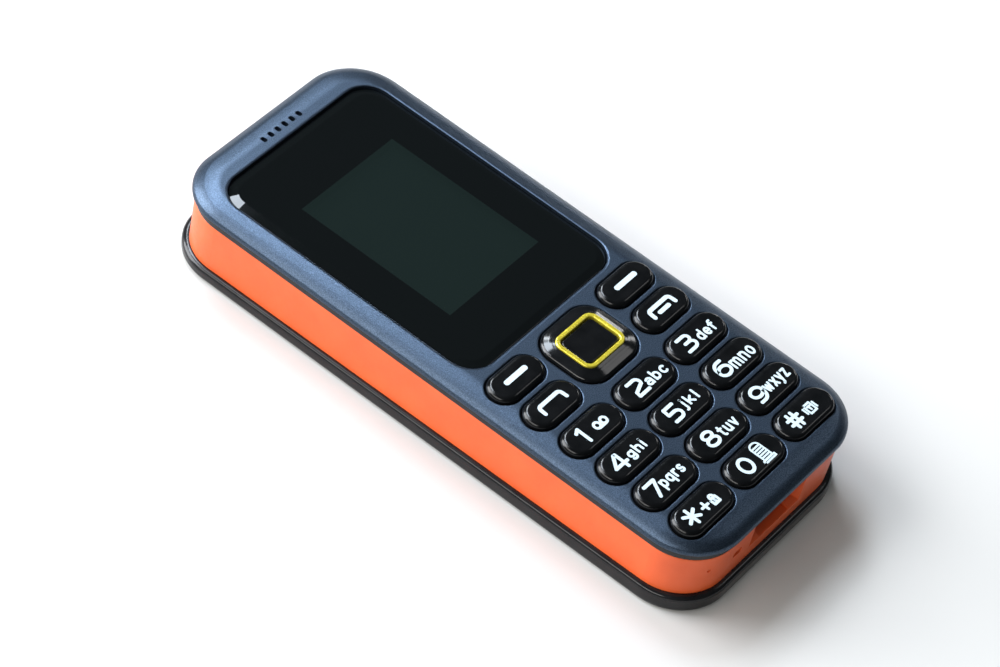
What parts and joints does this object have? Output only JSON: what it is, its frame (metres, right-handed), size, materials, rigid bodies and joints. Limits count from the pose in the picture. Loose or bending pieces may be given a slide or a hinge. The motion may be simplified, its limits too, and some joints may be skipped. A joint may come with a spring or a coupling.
{
  "type": "candybar mobile phone",
  "caption": "Candybar feature phone with a capsule keypad, a rocking navigation ring, a sunk display window, a coloured side band and a removable back cover over its battery.",
  "frame": {"origin": "centre of the bounding box's bottom, on the outside of the back cover", "axes": "+Y towards the earpiece along the longest side, +Z out of the front face, +X to the right when the front is looked at with the earpiece up"},
  "size_m": [0.0468, 0.1102, 0.0171],
  "materials": {
    "cover": "matt graphite blue lacquer with a fine metallic fleck",
    "lens": "clear gloss, printed black round the display",
    "tape": "matt black adhesive foam",
    "metal": "pressed plated sheet",
    "panel": "unlit display glass",
    "foam": "open foam",
    "keys": "polished black",
    "trim": "satin yellow green",
    "silicone": "translucent silicone",
    "film": "clear film over metal domes",
    "band": "satin orange",
    "black": "satin black",
    "rim": "polished black",
    "board": "green solder mask",
    "mesh": "woven mesh",
    "clear": "clear moulding",
    "brass": "gilt contacts",
    "carrier": "moulded carrier",
    "steel": "blackened steel",
    "battery": "wrapped pack"
  },
  "bodies": {
    "case": {"front_cover": "cover", "display_lens": "lens", "lens_tape": "tape", "display_frame": "metal", "display_panel": "panel", "display_gasket": "foam", "dome_sheet": "film", "keypad_mat": "silicone", "side_band": "band", "chassis": "black", "main_board": "board", "earpiece_speaker": "black", "earpiece_mesh": "mesh", "loudspeaker": "black", "microphone": "metal", "vibration_motor": "metal", "usb_socket": "metal", "audio_jack": "black", "torch_led": "clear", "torch_lens": "clear", "sim_sockets": "metal", "memory_card_socket": "metal", "battery_contacts": "brass", "shield_cans": "metal", "antenna_carrier": "carrier", "case_screws": "steel"},
    "key_1": {"key_1": "keys"},
    "key_2": {"key_2": "keys"},
    "key_3": {"key_3": "keys"},
    "key_4": {"key_4": "keys"},
    "key_5": {"key_5": "keys"},
    "key_6": {"key_6": "keys"},
    "key_7": {"key_7": "keys"},
    "key_8": {"key_8": "keys"},
    "key_9": {"key_9": "keys"},
    "key_star": {"key_star": "keys"},
    "key_0": {"key_0": "keys"},
    "key_hash": {"key_hash": "keys"},
    "soft_key_left": {"soft_key_left": "keys"},
    "soft_key_right": {"soft_key_right": "keys"},
    "call_key": {"call_key": "keys"},
    "end_key": {"end_key": "keys"},
    "nav_pad": {"nav_ring": "keys", "nav_trim": "trim"},
    "nav_collar": {"nav_collar": "silicone"},
    "select_key": {"select_key": "keys"},
    "battery": {"battery": "battery"},
    "back_cover": {"back_cover": "rim"}
  },
  "joints": [
    {"name": "key_1_press", "type": "slide", "parent": "case", "child": "key_1", "axis": [0, 0, -1], "range_m": [0, 0.00035], "stiffness_N_per_m": 1500, "springref_m": -0.0002},
    {"name": "key_2_press", "type": "slide", "parent": "case", "child": "key_2", "axis": [0, 0, -1], "range_m": [0, 0.00035], "stiffness_N_per_m": 1500, "springref_m": -0.0002},
    {"name": "key_3_press", "type": "slide", "parent": "case", "child": "key_3", "axis": [0, 0, -1], "range_m": [0, 0.00035], "stiffness_N_per_m": 1500, "springref_m": -0.0002},
    {"name": "key_4_press", "type": "slide", "parent": "case", "child": "key_4", "axis": [0, 0, -1], "range_m": [0, 0.00035], "stiffness_N_per_m": 1500, "springref_m": -0.0002},
    {"name": "key_5_press", "type": "slide", "parent": "case", "child": "key_5", "axis": [0, 0, -1], "range_m": [0, 0.00035], "stiffness_N_per_m": 1500, "springref_m": -0.0002},
    {"name": "key_6_press", "type": "slide", "parent": "case", "child": "key_6", "axis": [0, 0, -1], "range_m": [0, 0.00035], "stiffness_N_per_m": 1500, "springref_m": -0.0002},
    {"name": "key_7_press", "type": "slide", "parent": "case", "child": "key_7", "axis": [0, 0, -1], "range_m": [0, 0.00035], "stiffness_N_per_m": 1500, "springref_m": -0.0002},
    {"name": "key_8_press", "type": "slide", "parent": "case", "child": "key_8", "axis": [0, 0, -1], "range_m": [0, 0.00035], "stiffness_N_per_m": 1500, "springref_m": -0.0002},
    {"name": "key_9_press", "type": "slide", "parent": "case", "child": "key_9", "axis": [0, 0, -1], "range_m": [0, 0.00035], "stiffness_N_per_m": 1500, "springref_m": -0.0002},
    {"name": "key_star_press", "type": "slide", "parent": "case", "child": "key_star", "axis": [0, 0, -1], "range_m": [0, 0.00035], "stiffness_N_per_m": 1500, "springref_m": -0.0002},
    {"name": "key_0_press", "type": "slide", "parent": "case", "child": "key_0", "axis": [0, 0, -1], "range_m": [0, 0.00035], "stiffness_N_per_m": 1500, "springref_m": -0.0002},
    {"name": "key_hash_press", "type": "slide", "parent": "case", "child": "key_hash", "axis": [0, 0, -1], "range_m": [0, 0.00035], "stiffness_N_per_m": 1500, "springref_m": -0.0002},
    {"name": "soft_key_left_press", "type": "slide", "parent": "case", "child": "soft_key_left", "axis": [0, 0, -1], "range_m": [0, 0.00035], "stiffness_N_per_m": 1500, "springref_m": -0.0002},
    {"name": "soft_key_right_press", "type": "slide", "parent": "case", "child": "soft_key_right", "axis": [0, 0, -1], "range_m": [0, 0.00035], "stiffness_N_per_m": 1500, "springref_m": -0.0002},
    {"name": "call_key_press", "type": "slide", "parent": "case", "child": "call_key", "axis": [0, 0, -1], "range_m": [0, 0.00035], "stiffness_N_per_m": 1500, "springref_m": -0.0002},
    {"name": "end_key_press", "type": "slide", "parent": "case", "child": "end_key", "axis": [0, 0, -1], "range_m": [0, 0.00035], "stiffness_N_per_m": 1500, "springref_m": -0.0002},
    {"name": "select_press", "type": "slide", "parent": "case", "child": "select_key", "axis": [0, 0, -1], "range_m": [0, 0.0003], "stiffness_N_per_m": 1500, "springref_m": -0.0002},
    {"name": "nav_rock_up_down", "type": "hinge", "parent": "case", "child": "nav_collar", "pos_m": [0, -0.01425, 0.01288], "axis": [1, 0, 0], "range_deg": [-1.5, 1.5], "stiffness_Nm_per_rad": 0.29},
    {"name": "nav_rock_left_right", "type": "hinge", "parent": "nav_collar", "child": "nav_pad", "pos_m": [0, -0.01425, 0.01288], "axis": [0, 1, 0], "range_deg": [-1.5, 1.5], "stiffness_Nm_per_rad": 0.29},
    {"name": "back_cover_off", "type": "slide", "parent": "case", "child": "back_cover", "axis": [0, 0, -1], "range_m": [0, 0.03]},
    {"name": "battery_out", "type": "slide", "parent": "case", "child": "battery", "axis": [0, 0, -1], "range_m": [0, 0.015]}
  ],
  "couplings": [
    {"joint": "battery_out", "follows": "back_cover_off", "ratio": 0.5}
  ]
}
